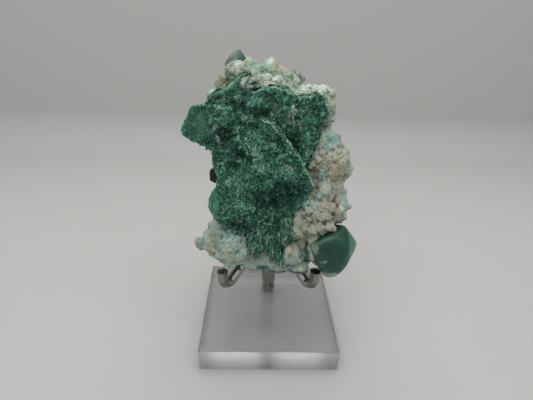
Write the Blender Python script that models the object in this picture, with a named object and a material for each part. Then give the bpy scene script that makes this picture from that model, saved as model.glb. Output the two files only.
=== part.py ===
"""Malachite after azurite on its pale matrix, leaning on an acrylic and metal display stand.

Metres, +Z up. The origin is the centre of the acrylic base's underside, +X is the right of the
display side and the display side faces -Y. The stone is drawn in a frame of its own, which leans
back with it: x to the right, depth into the stone, up along its face.
"""

import math
import random

import bmesh
import bpy
from mathutils import Matrix, Vector

MM = 0.001
GAP = 0.35 * MM

# Acrylic base
BASE_SIDE = 50 * MM
BASE_THICK = 9 * MM
BASE_EDGE = 0.2 * MM

# Screw that holds the post from under the base
SCREW_WIDE = 3 * MM
SCREW_GRIP = 5 * MM
HEAD_WIDE = 5.4 * MM
HEAD_TALL = 2.6 * MM
HEAD_SUNK = 2.4 * MM

# Metal holder
POST_AT = (0.4 * MM, 15 * MM)
POST_WIDE = 5.7 * MM
COLLAR_WIDE = 8.4 * MM
COLLAR_TALL = 7 * MM
COLLAR_MIDDLE = 34.3 * MM
ROD_WIDE = 4 * MM
ROD_BEND = 3 * MM
BEND_STEP = math.radians(25)
ARM_STUB = 1.8 * MM
ARM_OFFSET = 0.7 * MM

# Stone
STONE_FOOT = (0, -8 * MM, 28 * MM)
STONE_LEAN = math.radians(14)
CHAMFER = 0.7 * MM
BLADELETS = 64
BLADELET_ROOT = 1.2
BLADELET_CHAMFER = 0.2 * MM
SPRAY_TOP = 24
POCKET_FRONT = -15
ROOM_SWELL = 1.7 * GAP
MATRIX_GRAIN = 0.7 * MM
MATRIX_FACES_KEPT = 0.065
BALL_SUNK = 0.25
UNDERSIDE_WIDE = 90 * MM
UNDERSIDE_DEEP = 30 * MM


for old in list(bpy.data.objects):
    bpy.data.objects.remove(old)
scene = bpy.context.scene
scene.unit_settings.system = "METRIC"
scene.unit_settings.scale_length = 1.0


def srgb(code):
    """Linear RGBA of a hex colour."""
    parts = [int(code[i : i + 2], 16) / 255 for i in (1, 3, 5)]
    return [c / 12.92 if c <= 0.04045 else ((c + 0.055) / 1.055) ** 2.4 for c in parts] + [1.0]


def finish(name, colour, roughness, metallic=0.0):
    material = bpy.data.materials.new(name)
    material.use_nodes = True
    shader = material.node_tree.nodes["Principled BSDF"]
    shader.inputs["Base Color"].default_value = srgb(colour)
    shader.inputs["Roughness"].default_value = roughness
    shader.inputs["Metallic"].default_value = metallic
    material.diffuse_color = srgb(colour)
    return material


acrylic = finish("polished acrylic", "#e6ebea", 0.03)
acrylic.node_tree.nodes["Principled BSDF"].inputs["Transmission Weight"].default_value = 1.0
steel = finish("plated steel", "#8d8b86", 0.22, 1.0)
malachite = finish("drusy malachite", "#2c5c46", 0.5)
dark_malachite = finish("smooth malachite", "#214334", 0.35)
pale_crust = finish("chrysocolla crust", "#a3ad9c", 0.8)
weathered = finish("weathered malachite", "#7f9184", 0.6)
black_oxide = finish("black oxide", "#262b28", 0.45)


def add(name, mesh, material, parent=None):
    """A named object of a mesh or curve, in the scene."""
    item = bpy.data.objects.new(name, mesh)
    mesh.materials.append(material)
    scene.collection.objects.link(item)
    item.parent = parent
    return item


def mesh_of(bm, name, smooth_below=None):
    """The bmesh as a mesh, faces out, shaded smooth where its faces meet below an angle in degrees."""
    bmesh.ops.recalc_face_normals(bm, faces=bm.faces)
    mesh = bpy.data.meshes.new(name)
    bm.to_mesh(mesh)
    bm.free()
    if smooth_below:
        mesh.shade_smooth()
        mesh.set_sharp_from_angle(angle=math.radians(smooth_below))
    return mesh


def helper(item):
    item.hide_render = True
    item.display_type = "WIRE"
    return item


def boolean(item, other, operation):
    cut = item.modifiers.new(f"{operation.lower()} {other.name}", "BOOLEAN")
    cut.operation = operation
    if isinstance(other, bpy.types.Collection):
        cut.operand_type = "COLLECTION"
        cut.collection = other
    else:
        cut.object = other


def group(name):
    made = bpy.data.collections.new(name)
    scene.collection.children.link(made)
    return made


def move_to(made, item):
    scene.collection.objects.unlink(item)
    made.objects.link(item)


def turned(name, profile, segments=32):
    """A solid turned about Z from a profile of (radius, height), bottom to top."""
    bm = bmesh.new()
    points = [(0, profile[0][1])] + profile + [(0, profile[-1][1])]
    rim = [bm.verts.new((r, 0, z)) for r, z in points]
    edges = [bm.edges.new(pair) for pair in zip(rim, rim[1:])]
    bmesh.ops.spin(
        bm, geom=rim + edges, cent=(0, 0, 0), axis=(0, 0, 1), angle=math.tau, steps=segments, use_merge=True
    )
    bmesh.ops.remove_doubles(bm, verts=bm.verts, dist=0.01 * MM)
    return mesh_of(bm, name, smooth_below=40)


def rounded_route(corners, bend):
    """A polyline whose inner corners are arcs of the given radius."""
    route = [Vector(corners[0])]
    for before, corner, after in zip(corners, corners[1:], corners[2:]):
        back = (Vector(before) - Vector(corner)).normalized()
        on = (Vector(after) - Vector(corner)).normalized()
        half = back.angle(on) / 2
        steps = max(1, round((math.pi - 2 * half) / BEND_STEP))
        middle = Vector(corner) + (back + on).normalized() * bend / math.sin(half)
        start = Vector(corner) + back * bend / math.tan(half)
        end = Vector(corner) + on * bend / math.tan(half)
        for step in range(steps + 1):
            chord = start.lerp(end, step / steps) - middle
            route.append(middle + chord.normalized() * bend)
    route.append(Vector(corners[-1]))
    return route


def rod(name, corners, bend=ROD_BEND):
    """Round bar bent at its corners, with flat sawn ends."""
    curve = bpy.data.curves.new(name, "CURVE")
    curve.dimensions = "3D"
    curve.bevel_depth = ROD_WIDE / 2
    curve.bevel_resolution = 4
    curve.use_fill_caps = True
    route = rounded_route(corners, bend)
    spline = curve.splines.new("POLY")
    spline.points.add(len(route) - 1)
    for point, at in zip(spline.points, route):
        point.co = (*at, 1)
    spline.use_smooth = True
    return add(name, curve, steel)


# Acrylic base: a square block with polished edges, bored from below for the screw and its head
bm = bmesh.new()
bmesh.ops.create_cube(bm, size=1)
bmesh.ops.scale(bm, vec=(BASE_SIDE, BASE_SIDE, BASE_THICK), verts=bm.verts)
bmesh.ops.translate(bm, vec=(0, 0, BASE_THICK / 2), verts=bm.verts)
bmesh.ops.bevel(
    bm, geom=bm.edges, offset=BASE_EDGE, segments=2, profile=0.5, affect="EDGES", material=-1
)
acrylic_base = add("acrylic_base", mesh_of(bm, "acrylic_base"), acrylic)
head_top = HEAD_SUNK + HEAD_TALL
bore_profile = [
    (HEAD_WIDE / 2 + GAP, -1 * MM),
    (HEAD_WIDE / 2 + GAP, head_top + GAP),
    (SCREW_WIDE / 2 + GAP, head_top + GAP),
    (SCREW_WIDE / 2 + GAP, BASE_THICK + 1 * MM),
]
base_bore = helper(add("base_bore", turned("base_bore", bore_profile), acrylic))
base_bore.location = (*POST_AT, 0)
boolean(acrylic_base, base_bore, "DIFFERENCE")

# Base screw: a cheese-head screw, sunk in the underside, that grips the foot of the post
screw_top = BASE_THICK + SCREW_GRIP
screw_profile = [
    (HEAD_WIDE / 2, HEAD_SUNK),
    (HEAD_WIDE / 2, head_top),
    (SCREW_WIDE / 2, head_top),
    (SCREW_WIDE / 2, screw_top),
]
base_screw = add("base_screw", turned("base_screw", screw_profile), steel)
base_screw.location = (*POST_AT, 0)

# Post: a plain round bar standing on the base, tapped at its foot for the screw
collar_low = COLLAR_MIDDLE - COLLAR_TALL / 2
post_foot = BASE_THICK + GAP
post_chamfer = 0.3 * MM
post_profile = [
    (POST_WIDE / 2 - post_chamfer, post_foot),
    (POST_WIDE / 2, post_foot + post_chamfer),
    (POST_WIDE / 2, collar_low - GAP),
]
post = add("post", turned("post", post_profile), steel)
post.location = (*POST_AT, 0)
tapping_profile = [(SCREW_WIDE / 2 + GAP, post_foot - 1 * MM), (SCREW_WIDE / 2 + GAP, screw_top + GAP)]
tapping = helper(add("post_tapping", turned("post_tapping", tapping_profile), steel))
tapping.location = (*POST_AT, 0)
boolean(post, tapping, "DIFFERENCE")

# Collar: the turned knob on top of the post that the three arms are set in
collar_chamfer = 0.8 * MM
collar = add(
    "arm_collar",
    turned(
        "arm_collar",
        [
            (COLLAR_WIDE / 2 - collar_chamfer, collar_low),
            (COLLAR_WIDE / 2, collar_low + collar_chamfer),
            (COLLAR_WIDE / 2, collar_low + COLLAR_TALL - collar_chamfer),
            (COLLAR_WIDE / 2 - collar_chamfer, collar_low + COLLAR_TALL),
        ],
    ),
    steel,
)
collar.location = (*POST_AT, 0)
hub = Vector((*POST_AT, COLLAR_MIDDLE))


def level_start(towards, rise):
    """The short level start of an arm, square to the collar's side, and its bend towards a corner."""
    way = Vector(towards) - hub
    way.z = 0
    way.normalize()
    start = hub + way * (COLLAR_WIDE / 2 + GAP)
    start.z += rise
    return [start, start + way * ARM_STUB]


# Front arms: each leaves the collar level, slopes down and forward under the stone and turns up in a hook
for name, corner, tip in (
    ("left_arm", (-17.2 * MM, -6.1 * MM, 20.2 * MM), (-17.4 * MM, -6.1 * MM, 29.2 * MM)),
    ("right_arm", (16.4 * MM, -6.1 * MM, 20.4 * MM), (16.9 * MM, -6.2 * MM, 29.8 * MM)),
):
    rod(name, [*level_start(corner, -ARM_OFFSET), corner, tip])

# Back arm: rises behind the stone and turns in to bear on its back
back_knee = (0.4 * MM, 25 * MM, 38.6 * MM)
back_corner = (0.4 * MM, 29 * MM, 67 * MM)
back_tip = (0.4 * MM, 25.8 * MM, 69.6 * MM)
rod("back_arm", [*level_start(back_knee, ARM_OFFSET), back_knee, back_corner, back_tip])

# Stone frame
stone = bpy.data.objects.new("stone_lean", None)
stone.location = STONE_FOOT
stone.rotation_euler = (-STONE_LEAN, 0, 0)
scene.collection.objects.link(stone)


def arc(middle, radius, start, end, steps):
    """Points (x, up) round a middle, in mm, between two angles in degrees."""
    turn = [math.radians(start + (end - start) * i / steps) for i in range(steps + 1)]
    return [(middle[0] + radius * math.cos(a), middle[1] + radius * math.sin(a)) for a in turn]


def grown_outline(outline, by):
    """The outline moved outwards by a distance, all in mm."""
    turn = sum(x0 * y1 - x1 * y0 for (x0, y0), (x1, y1) in zip(outline, outline[1:] + outline[:1]))
    side = 1 if turn > 0 else -1
    out = []
    for i, here in enumerate(outline):
        before = Vector(here) - Vector(outline[i - 1])
        after = Vector(outline[(i + 1) % len(outline)]) - Vector(here)
        first = Vector((before.y, -before.x)).normalized() * side
        second = Vector((after.y, -after.x)).normalized() * side
        mitre = (first + second).normalized()
        reach = by / max(mitre.dot(first), 0.5)
        out.append((here[0] + mitre.x * reach, here[1] + mitre.y * reach))
    return out


def grow_slab(bm, outline, front, back, tilt, chamfer):
    """A flat crystal in the bmesh: an outline (x, up) in mm between two depths, its front face tilted."""
    face = bm.faces.new([bm.verts.new((x * MM, back * MM, up * MM)) for x, up in outline])
    middle = face.calc_center_median()
    grown = bmesh.ops.extrude_face_region(bm, geom=[face])["geom"]
    rim = [v for v in grown if isinstance(v, bmesh.types.BMVert)]
    for v in rim:
        v.co.y = front * MM + tilt[0] * (v.co.x - middle.x) + tilt[1] * (v.co.z - middle.z)
    bmesh.ops.recalc_face_normals(bm, faces=bm.faces)
    if chamfer:
        edges = {e for v in rim for e in v.link_edges if e.other_vert(v) in rim}
        bmesh.ops.bevel(
            bm,
            geom=list(edges),
            offset=chamfer,
            segments=1,
            profile=0.5,
            affect="EDGES",
            material=-1,
            clamp_overlap=True,
        )


def slab(name, outline, front, back, tilt=(0.0, 0.0), chamfer=CHAMFER):
    bm = bmesh.new()
    grow_slab(bm, outline, front, back, tilt, chamfer)
    return add(name, mesh_of(bm, name), malachite, stone)


# Malachite group: the tabular crystals of the display face, grown into one another
# name, outline (x, up), front depth, back depth, tilt across and up; all lengths in mm
SLABS = [
    (
        "upper_plate",
        [(-10.9, 66.9), (-8.6, 66.6), (-6.6, 66.0), (-4.0, 67.2), (0.2, 67.9), (4.2, 66.5), (8.6, 64.6),
         (12.6, 65.3), (14.9, 65.8), (17.0, 63.6), (18.7, 59.4), (17.9, 55.4), (16.3, 54.0), (16.0, 50.5),
         (14.2, 46.0), (12.0, 41.5), (4.0, 34.0), (-8.0, 34.0), (-15.0, 44.0), (-16.0, 62.0)],
        0.0, 4.6, (0.04, -0.03),
    ),
    (
        "top_fin",
        [(-8.1, 72.6), (-11.6, 71.4), (-14.0, 69.1), (-16.2, 67.1), (-19.7, 65.6), (-21.8, 63.8),
         (-23.4, 61.5), (-17.8, 60.0), (-11.0, 65.4), (-7.5, 71.2)],
        0.8, 5.2, (-0.25, 0.3),
    ),
    (
        "left_lobe",
        [(-23.0, 61.4), (-24.6, 61.6), (-27.0, 61.2), (-28.1, 60.4), (-29.1, 57.1), (-31.1, 53.8),
         (-31.3, 52.8), (-30.9, 51.1), (-29.2, 49.6), (-26.9, 48.6), (-24.2, 47.5), (-20.9, 45.7),
         (-14.0, 45.0), (-11.0, 50.0), (-12.0, 58.0), (-15.5, 62.0)],
        -0.9, 5.6, (-0.09, -0.02),
    ),
    (
        "left_column",
        [(-20.8, 47.0), (-20.9, 44.5), (-21.0, 41.0), (-20.1, 40.0), (-19.1, 35.5), (-19.6, 33.4),
         (-14.0, 27.0), (-5.0, 30.0), (-6.0, 46.0), (-12.0, 53.0)],
        -0.4, 5.0, (-0.05, 0.04),
    ),
    (
        "left_disc",
        arc((-14.5, 27.0), 8.0, 88, 262, 12) + [(-9.0, 20.0), (-8.0, 33.0)],
        0.2, 5.8, (-0.1, 0.02),
    ),
    (
        "lower_plate",
        [(-17.0, 33.0), (-7.0, 44.0), (3.0, 38.0), (9.0, 29.0), (6.0, 22.0), (1.0, 17.0), (-8.9, 16.9),
         (-13.9, 17.4), (-15.0, 18.5), (-17.3, 19.6), (-16.6, 26.0)],
        -1.5, 4.2, (-0.06, 0.03),
    ),
    (
        "front_plate",
        [(-3.9, 56.7), (-0.9, 56.5), (1.5, 53.6), (5.6, 49.1), (8.7, 45.1), (11.6, 40.5), (14.0, 36.4),
         (14.6, 35.0), (14.3, 33.3), (11.4, 30.1), (8.8, 25.8), (4.3, 24.3), (1.6, 23.9), (-6.0, 26.5),
         (-9.5, 34.0), (-7.6, 43.8), (-6.6, 50.0)],
        -3.4, 3.4, (-0.07, -0.02),
    ),
    (
        "ridge_blade",
        [(-6.2, 54.8), (-7.7, 51.4), (-9.9, 51.2), (-8.4, 46.6), (-10.8, 40.0), (-9.0, 36.0), (-4.5, 40.0),
         (-4.0, 50.0)],
        -2.5, 3.0, (0.12, 0.0),
    ),
    (
        "shoulder_blade",
        [(-2.0, 57.5), (4.0, 62.0), (9.5, 60.5), (12.5, 55.0), (10.0, 48.0), (3.0, 52.0)],
        -1.0, 2.8, (0.05, -0.06),
    ),
    (
        "spray_left",
        [(-8.4, 18.5), (-8.5, 13.9), (-7.4, 10.6), (-4.9, 8.1), (-3.4, 9.2), (-1.4, 14.0), (0.0, 21.0),
         (-6.0, 21.0)],
        -1.6, 4.4, (0.1, 0.05),
    ),
    (
        "spray_middle",
        [
            (-2.2, 21.0), (-2.6, 14.0), (-1.6, 10.6), (0.6, 8.2),
            (5.4, 4.4), (5.2, 7.0), (3.4, 12.0), (2.6, 21.0),
        ],
        -2.4, 4.0, (-0.05, 0.03),
    ),
    (
        "spray_right",
        [(0.8, 24.0), (2.4, 14.0), (4.2, 11.4), (6.9, 13.2), (7.9, 15.7), (7.6, 21.9), (7.0, 25.0)],
        -1.3, 4.8, (0.08, -0.04),
    ),
]

members = group("malachite_members")
pocket = group("malachite_pocket")
for name, outline, front, back, tilt in SLABS:
    if name == "upper_plate":
        malachite_group = slab("malachite_group", outline, front, back, tilt)
    else:
        move_to(members, helper(slab(name, outline, front, back, tilt)))
    room = slab(f"{name}_room", grown_outline(outline, GAP / MM), POCKET_FRONT, back + GAP / MM, chamfer=0)
    move_to(pocket, helper(room))


def within(outline, x, up):
    """Whether a place lies inside an outline."""
    crossed = 0
    for (x0, up0), (x1, up1) in zip(outline, outline[1:] + outline[:1]):
        if (up0 > up) != (up1 > up):
            crossed += x < x0 + (x1 - x0) * (up - up0) / (up1 - up0)
    return crossed % 2 == 1


def face_depth(x, up):
    """Depth of the foremost crystal face at a place, in mm, or None beside the group."""
    depths = []
    for _, outline, front, _, tilt in SLABS:
        if within(outline, x, up):
            across = x - sum(p[0] for p in outline) / len(outline)
            rise = up - sum(p[1] for p in outline) / len(outline)
            depths.append(front + tilt[0] * across + tilt[1] * rise)
    return min(depths, default=None)


def bladelet(x, up, length, width, angle):
    """Outline of a small pointed blade, in mm."""
    shape = [(-0.5, 0), (-0.25, 0.5), (0.3, 0.45), (0.5, 0), (0.2, -0.5), (-0.3, -0.45)]
    c, s = math.cos(angle), math.sin(angle)
    return [(x + c * u * length - s * v * width, up + s * u * length + c * v * width) for u, v in shape]


# Second growth: small blades standing out of the broad faces, upright in the spray at the foot
dice = random.Random(5)
bm = bmesh.new()
blades = 0
while blades < BLADELETS:
    x = dice.uniform(-29, 18)
    up = dice.uniform(7, 70)
    length = dice.uniform(2.6, 5.0)
    width = dice.uniform(1.0, 1.9)
    if up < SPRAY_TOP:
        lean = math.pi / 2 + dice.uniform(-0.35, 0.35)
    else:
        lean = dice.uniform(0, math.pi)
    outline = bladelet(x, up, length, width, lean)
    depths = [face_depth(*corner) for corner in outline]
    if None in depths or max(depths) - min(depths) > BLADELET_ROOT:
        continue
    proud = dice.uniform(0.35, 0.8)
    tilt = (dice.uniform(-0.25, 0.25), dice.uniform(-0.25, 0.25))
    grow_slab(bm, outline, min(depths) - proud, max(depths) + BLADELET_ROOT, tilt, BLADELET_CHAMFER)
    blades += 1
move_to(members, helper(add("bladelets", mesh_of(bm, "bladelets"), malachite, stone)))
boolean(malachite_group, members, "UNION")
malachite_group.modifiers[-1].use_self = True


def grow_hull(bm, corners):
    """A body with flat faces in the bmesh, the hull of its corners (x, depth, up) in mm."""
    hull = bmesh.ops.convex_hull(bm, input=[bm.verts.new(Vector(corner) * MM) for corner in corners])
    bmesh.ops.delete(bm, geom=hull["geom_interior"], context="VERTS")


def block(name, corners, material):
    bm = bmesh.new()
    grow_hull(bm, corners)
    bmesh.ops.dissolve_limit(bm, angle_limit=math.radians(2), verts=bm.verts, edges=bm.edges)
    return add(name, mesh_of(bm, name), material, stone)


def room_for(item):
    """A copy of a crystal swollen by the gap that its neighbours keep from it."""
    room = helper(add(f"{item.name}_room", item.data.copy(), item.data.materials[0], stone))
    swell = room.modifiers.new("swell", "DISPLACE")
    swell.strength = ROOM_SWELL
    swell.mid_level = 0
    move_to(pocket, room)


# Lower right crystal: a stout block with one broad front face and a bevelled rim
room_for(
    block(
        "corner_crystal",
        [
            (14.5, -0.8, 12.4), (17.0, -2.4, 14.6), (21.0, -2.8, 16.6), (24.8, -1.6, 16.4),
            (27.8, -2.4, 10.0),
            (26.4, -2.6, 4.8), (23.2, -2.4, 1.6), (20.4, -1.6, 2.2), (17.8, -2.0, 5.6), (15.2, -1.0, 10.4),
            (32.0, 3.0, 13.4), (31.5, 3.0, 10.4), (29.4, 3.0, 6.2), (27.3, 2.5, 2.6), (27.3, 4.5, 19.2),
            (29.6, 4.0, 15.4), (14.6, 6.0, 12.0), (20.0, 9.0, 17.0), (26.0, 9.0, 18.0), (30.0, 8.0, 12.0),
            (27.4, 9.0, 5.0), (21.0, 8.0, 2.6), (17.0, 7.0, 5.0), (23.3, 2.5, -0.4), (20.7, 2.4, -0.3),
            (19.7, 5.4, 0.2),
        ],
        dark_malachite,
    )
)

# Crystal at the top left corner, half covered by the pale crust
room_for(
    block(
        "top_crystal",
        [
            (-16.9, 7.0, 66.0), (-16.9, 7.0, 75.6), (-15.9, 7.5, 77.0), (-14.6, 7.0, 77.6),
            (-13.8, 8.0, 79.8),
            (-11.8, 8.0, 80.2), (-10.6, 8.5, 78.4), (-9.4, 8.5, 77.2), (-9.4, 8.5, 66.0), (-16.0, 13.5, 74.5),
            (-13.0, 14.5, 78.4), (-9.6, 13.0, 76.5), (-9.6, 13.0, 66.0), (-16.2, 13.0, 66.0),
        ],
        weathered,
    )
)

# Black crystal at the left edge, behind the malachite
room_for(
    block(
        "dark_crystal",
        [
            (-22.5, 6.8, 38.0), (-21.6, 6.5, 39.2), (-18.0, 6.5, 39.4), (-22.5, 6.8, 34.6),
            (-20.8, 6.6, 33.6),
            (-17.0, 6.6, 34.0), (-22.0, 10.5, 37.8), (-21.8, 10.5, 34.8), (-17.0, 11.0, 38.8),
            (-17.0, 11.0, 34.4),
        ],
        black_oxide,
    )
)

# Matrix: the broken rock behind the malachite, as corners (x, depth, up) of two angular bodies in mm
ROCK = [
    [
        (-14, 4, 6), (12, 4, 5), (-10, 8.5, 8), (9, 9, 8), (-18, 5, 16), (-15, 11, 15), (-3, 11.8, 13),
        (9, 11.6, 15), (19, 6, 16), (-19, 6, 28), (-15, 14, 27), (-4, 17.5, 27), (9, 16, 28), (20, 8, 28),
        (18, 13, 31), (-19, 7, 38), (-12, 17, 37), (4, 19, 38), (17, 12, 38),
    ],
    [
        (-17, 4, 30), (16, 4, 30), (-19, 9, 36), (-12, 17, 35), (5, 16, 33), (21, 9, 36), (-19.5, 7, 46),
        (-16, 16, 48), (-2, 20.8, 46), (12, 18, 44), (22, 9, 44), (-18, 8, 60), (-12, 17, 62), (1, 21.5, 57),
        (13, 18, 60), (20, 8, 58), (-13, 9, 68), (-4, 15, 70.5), (4, 17, 69), (13, 12, 67), (18, 7, 65),
    ],
]

# The pale crust on it, as overlapping lumps: middle (x, depth, up) and radii in mm
LUMPS = [
    # right flank, from the top corner down
    (18.5, 7.5, 61, 4.0, 5, 6), (18.6, 8, 48.6, 6, 6, 6), (21, 6, 42, 6.6, 6, 7), (20.5, 8, 33, 6.6, 6, 6.5),
    (24.3, 9, 25.5, 4.8, 6, 8), (15.5, 4, 26, 6.6, 5.4, 6.6), (14.5, 3.5, 19.4, 4.2, 4.2, 3.2),
    (19.4, 4.5, 19.2, 4.4, 5, 3.4), (15.8, 7.5, 16, 4, 4.5, 3.6),
    # foot: cream column and block, dark hollow, middle and the left lump with its nub
    (9.8, 2.5, 20, 2.3, 4, 6), (7.8, 3, 7.4, 3.9, 4.4, 5.6), (12.8, 8, 7.5, 3.6, 4.5, 6.6),
    (13.5, 9, 15, 4.5, 5, 5), (-2.6, 6, 6.6, 8, 5, 4.4), (-5, 3.6, 4.6, 6, 3.6, 3.4),
    (3.5, 3.8, 3.8, 6, 3.6, 3.2), (10.5, 3.8, 3.0, 4.4, 3.4, 2.8), (-14, 4.5, 10.4, 7.2, 6.4, 7),
    (-20.5, 6.5, 12, 4.5, 5.5, 6), (-25.6, 7.2, 10.4, 2.4, 3.4, 2.5), (-18.5, 8, 18.5, 3.4, 5, 3.4),
    # top: white ledges, knobs, the coated corner and the olive strip beside it
    (-3, 7, 68, 6.4, 4.6, 3.8), (14.5, 7, 64.8, 7.4, 4.6, 4.2), (-1, 12, 72.6, 3.6, 4.6, 5.4),
    (5.3, 12, 69.3, 4.2, 4.6, 4.8), (-9.2, 8, 72.8, 4.4, 4, 3.6), (-13.2, 6.8, 72.2, 3, 3.4, 3.2),
    (-17.8, 7, 68.1, 2.8, 3.6, 3.2), (-21, 6.6, 64.3, 2.4, 3.2, 2.6), (-9, 5.4, 68.4, 3, 3.2, 3.2),
]

# Single knobs and balls that stand out: middle and radius in mm
KNOBS = [
    (18.8, 1.2, 34.2, 2.4), (16.5, -0.6, 31.6, 1.3), (13.6, 2.2, 42.2, 1.7), (16.0, 2.0, 44.2, 1.8),
    (25.9, 5.0, 45.8, 2.0), (27.2, 5.0, 40.2, 1.7), (25.8, 5.0, 37.6, 2.0), (9.6, 12.5, 70.8, 1.5),
    (-0.6, 10.0, 76.6, 1.8), (3.2, 10.5, 73.6, 1.8),
]

# Lumps that carry a crust of small balls: middle, radii, how many balls and how large, in mm
CRUSTS = [
    ((21, 6, 42), (6.6, 6, 7), 60, 1.25),
    ((15.5, 4, 26), (6.6, 5.4, 6.6), 55, 1.25),
    ((-14, 4.5, 10.4), (7.2, 6.4, 7), 60, 1.2),
    ((19.4, 4.5, 19.2), (4.4, 5, 3.4), 18, 1.3),
    ((20.5, 8, 33), (6.6, 6, 6.5), 24, 1.4),
    ((-1, 12, 72.6), (3.6, 4.6, 5.4), 14, 1.2),
    ((5.3, 12, 69.3), (4.2, 4.6, 4.8), 14, 1.2),
    ((-20.5, 6.5, 12), (4.5, 5.5, 6), 18, 1.2),
]


def sphere_points(count):
    """Even directions over a sphere, along a spiral."""
    golden = math.pi * (3 - math.sqrt(5))
    for i in range(count):
        level = 1 - 2 * (i + 0.5) / count
        flat = math.sqrt(1 - level * level)
        yield Vector((flat * math.cos(golden * i), flat * math.sin(golden * i), level))


def lump(bm, middle, radii, rounds):
    place = Matrix.Translation(Vector(middle) * MM) @ Matrix.Diagonal((*(Vector(radii) * MM), 1))
    bmesh.ops.create_icosphere(bm, subdivisions=rounds, radius=1, matrix=place)


bm = bmesh.new()
for corners in ROCK:
    grow_hull(bm, corners)
for x, depth, up, wide, thick, tall in LUMPS:
    lump(bm, (x, depth, up), (wide, thick, tall), 3)
for x, depth, up, radius in KNOBS:
    lump(bm, (x, depth, up), (radius,) * 3, 2)
growth = random.Random(7)
for middle, radii, count, ball in CRUSTS:
    for way in sphere_points(count):
        size = ball * growth.uniform(0.75, 1.2)
        at = [m + w * (r - BALL_SUNK * ball) for m, w, r in zip(middle, way, radii)]
        lump(bm, at, (size,) * 3, 2)
matrix_rock = add("matrix_rock", mesh_of(bm, "matrix_rock"), pale_crust, stone)
fuse = matrix_rock.modifiers.new("fuse", "REMESH")
fuse.mode = "VOXEL"
fuse.voxel_size = MATRIX_GRAIN
thin = matrix_rock.modifiers.new("thin", "DECIMATE")
thin.ratio = MATRIX_FACES_KEPT
boolean(matrix_rock, pocket, "DIFFERENCE")

# Broken underside: one slope that lies along both front arms
slope_low = Vector((0, 3.3 * MM, -1.3 * MM))
slope_high = Vector((0, 18.9 * MM, 14.8 * MM))
slope = slope_high - slope_low
bm = bmesh.new()
bmesh.ops.create_cube(bm, size=1)
bmesh.ops.scale(bm, vec=(UNDERSIDE_WIDE, UNDERSIDE_WIDE, UNDERSIDE_DEEP), verts=bm.verts)
bmesh.ops.translate(bm, vec=(0, 0, -UNDERSIDE_DEEP / 2), verts=bm.verts)
underside = helper(add("underside_break", mesh_of(bm, "underside_break"), pale_crust, stone))
underside.location = slope_low
underside.rotation_euler = (math.atan2(slope.z, slope.y), 0, 0)
boolean(matrix_rock, underside, "DIFFERENCE")
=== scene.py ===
"""Malachite after azurite on its pale matrix, leaning on an acrylic and metal stand."""

import math

import bmesh
import bpy
import numpy as np
from mathutils import Matrix, Vector, noise
from mathutils.bvhtree import BVHTree


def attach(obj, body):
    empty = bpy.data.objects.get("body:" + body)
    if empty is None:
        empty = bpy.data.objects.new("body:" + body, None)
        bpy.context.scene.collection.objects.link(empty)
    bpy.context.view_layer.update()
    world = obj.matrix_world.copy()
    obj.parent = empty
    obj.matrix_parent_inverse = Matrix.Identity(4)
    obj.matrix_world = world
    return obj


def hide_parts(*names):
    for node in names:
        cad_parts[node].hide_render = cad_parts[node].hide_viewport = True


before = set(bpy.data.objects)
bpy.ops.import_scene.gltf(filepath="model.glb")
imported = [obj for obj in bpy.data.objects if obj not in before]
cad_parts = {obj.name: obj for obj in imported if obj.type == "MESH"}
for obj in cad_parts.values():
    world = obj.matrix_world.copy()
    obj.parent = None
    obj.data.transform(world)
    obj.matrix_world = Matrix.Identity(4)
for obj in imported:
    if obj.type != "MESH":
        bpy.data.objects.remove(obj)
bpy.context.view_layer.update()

# Camera: a hand-held shot from just above the top of the stone, looking down at the middle of it.
# The frame is 533 x 400, and 400 pixels of focal length give the picture's perspective.
PHOTO_WIDE = 533
FOCAL_PIXELS = 400
SENSOR_WIDE = 36
scene = bpy.context.scene
camera = bpy.data.objects.new("camera", bpy.data.cameras.new("camera"))
scene.collection.objects.link(camera)
camera.data.sensor_width = SENSOR_WIDE
camera.data.lens = FOCAL_PIXELS / PHOTO_WIDE * SENSOR_WIDE
camera.data.clip_start = 0.005
yaw, pitch, roll = (math.radians(a) for a in (1.48, 26.62, 1.57))
camera.matrix_world = (
    Matrix.Translation((-0.0050, -0.12626, 0.11915))
    @ Matrix.Rotation(-yaw, 4, "Z")
    @ Matrix.Rotation(math.pi / 2 - pitch, 4, "X")
    @ Matrix.Rotation(roll, 4, "Z")
)
scene.camera = camera
scene.view_settings.view_transform = "Standard"

# Studio: a matt grey-white sheet that lies flat under the stand and sweeps up behind it,
# with a wide soft light overhead behind, softer ones in front and pale surroundings.
STAGE_WIDE, STAGE_FRONT, SWEEP_AT, SWEEP_RADIUS, STAGE_TALL = 1.8, -0.9, 0.19, 0.03, 0.2
REST_GAP = 0.0001


def linear(code):
    """Linear RGBA of an sRGB hex colour."""
    parts = [int(code[i : i + 2], 16) / 255 for i in (1, 3, 5)]
    return (*(c / 12.92 if c <= 0.04045 else ((c + 0.055) / 1.055) ** 2.4 for c in parts), 1.0)


def finish(name, roughness, metallic=0.0, **sockets):
    """A new Principled material: the material, its tree and its shader."""
    material = bpy.data.materials.new(name)
    material.use_nodes = True
    shader = material.node_tree.nodes["Principled BSDF"]
    shader.inputs["Roughness"].default_value = roughness
    shader.inputs["Metallic"].default_value = metallic
    for key, value in sockets.items():
        shader.inputs[key.replace("_", " ")].default_value = value
    return material, material.node_tree, shader


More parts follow.
